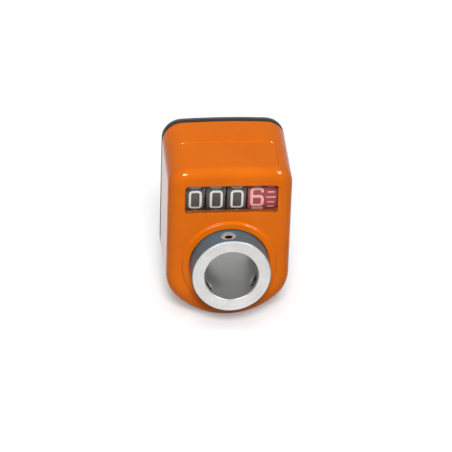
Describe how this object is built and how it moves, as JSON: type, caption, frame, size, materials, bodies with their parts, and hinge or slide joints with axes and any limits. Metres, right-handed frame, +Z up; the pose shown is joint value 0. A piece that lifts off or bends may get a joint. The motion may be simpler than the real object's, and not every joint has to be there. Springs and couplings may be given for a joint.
{
  "type": "mechanical position indicator",
  "caption": "Moulded case with a sloped top and a windowed wheel counter, driven through gears by a hollow shaft with a clamping collar; a rear pin stops it turning.",
  "frame": {"origin": "on the shaft axis, in the plane of the rear mounting face", "axes": "+X to the right as seen from the front, +Y along the shaft towards the machine, +Z up"},
  "size_m": [0.0326, 0.0398, 0.0472],
  "materials": {
    "orange_plastic": "moulded, semi-gloss",
    "clear_pane": "polished clear plastic",
    "black_plastic": "moulded, matt",
    "foam_rubber": "closed-cell foam",
    "turned_steel": "fine turned",
    "dark_steel": "blackened and oiled",
    "seal_rubber": "smooth",
    "spring_steel": "tempered",
    "gear_brass": "machined",
    "white_plastic": "moulded",
    "axle_steel": "ground",
    "black_wheel": "moulded, matt",
    "red_wheel": "moulded, matt"
  },
  "bodies": {
    "case": {"housing": "orange_plastic", "window_pane": "clear_pane", "rear_base": "black_plastic", "rear_gasket": "foam_rubber", "shaft_o_ring": "seal_rubber", "cluster_axle": "axle_steel", "idler_axle": "axle_steel", "counter_axle": "axle_steel", "carrier_plate_1": "axle_steel", "carrier_plate_2": "axle_steel", "carrier_plate_3": "axle_steel"},
    "shaft": {"hollow_shaft": "turned_steel", "grub_screws": "dark_steel", "retaining_ring": "spring_steel", "crown_gear": "gear_brass"},
    "cluster": {"cluster_gear": "white_plastic"},
    "idler": {"idler_gear": "white_plastic"},
    "units": {"units_wheel": "red_wheel"},
    "tens": {"tens_wheel": "black_wheel"},
    "hundreds": {"hundreds_wheel": "black_wheel"},
    "thousands": {"thousands_wheel": "black_wheel"},
    "pinion_1": {"transfer_pinion_1": "white_plastic"},
    "pinion_2": {"transfer_pinion_2": "white_plastic"},
    "pinion_3": {"transfer_pinion_3": "white_plastic"}
  },
  "joints": [
    {"name": "shaft_spin", "type": "hinge", "parent": "case", "child": "shaft", "pos_m": [0, 0, 0], "axis": [0, 1, 0], "continuous": true},
    {"name": "cluster_spin", "type": "hinge", "parent": "case", "child": "cluster", "pos_m": [0, -0.01025, 0], "axis": [1, 0, 0], "continuous": true},
    {"name": "idler_spin", "type": "hinge", "parent": "case", "child": "idler", "pos_m": [0, -0.0131, 0.00704], "axis": [1, 0, 0], "continuous": true},
    {"name": "units_spin", "type": "hinge", "parent": "case", "child": "units", "pos_m": [0, -0.0139, 0.0181], "axis": [1, 0, 0], "continuous": true},
    {"name": "tens_spin", "type": "hinge", "parent": "case", "child": "tens", "pos_m": [0, -0.0139, 0.0181], "axis": [1, 0, 0], "continuous": true},
    {"name": "hundreds_spin", "type": "hinge", "parent": "case", "child": "hundreds", "pos_m": [0, -0.0139, 0.0181], "axis": [1, 0, 0], "continuous": true},
    {"name": "thousands_spin", "type": "hinge", "parent": "case", "child": "thousands", "pos_m": [0, -0.0139, 0.0181], "axis": [1, 0, 0], "continuous": true},
    {"name": "pinion_1_spin", "type": "hinge", "parent": "case", "child": "pinion_1", "pos_m": [0, -0.00886, 0.0181], "axis": [1, 0, 0], "continuous": true},
    {"name": "pinion_2_spin", "type": "hinge", "parent": "case", "child": "pinion_2", "pos_m": [0, -0.00886, 0.0181], "axis": [1, 0, 0], "continuous": true},
    {"name": "pinion_3_spin", "type": "hinge", "parent": "case", "child": "pinion_3", "pos_m": [0, -0.00886, 0.0181], "axis": [1, 0, 0], "continuous": true}
  ],
  "couplings": [
    {"joint": "cluster_spin", "follows": "shaft_spin", "ratio": -2},
    {"joint": "idler_spin", "follows": "shaft_spin", "ratio": 1.7143},
    {"joint": "units_spin", "follows": "shaft_spin", "ratio": -1},
    {"joint": "tens_spin", "follows": "shaft_spin", "ratio": -0.1},
    {"joint": "hundreds_spin", "follows": "shaft_spin", "ratio": -0.01},
    {"joint": "thousands_spin", "follows": "shaft_spin", "ratio": -0.001},
    {"joint": "pinion_1_spin", "follows": "shaft_spin", "ratio": -0.33333},
    {"joint": "pinion_2_spin", "follows": "shaft_spin", "ratio": -0.033333},
    {"joint": "pinion_3_spin", "follows": "shaft_spin", "ratio": -0.0033333}
  ]
}
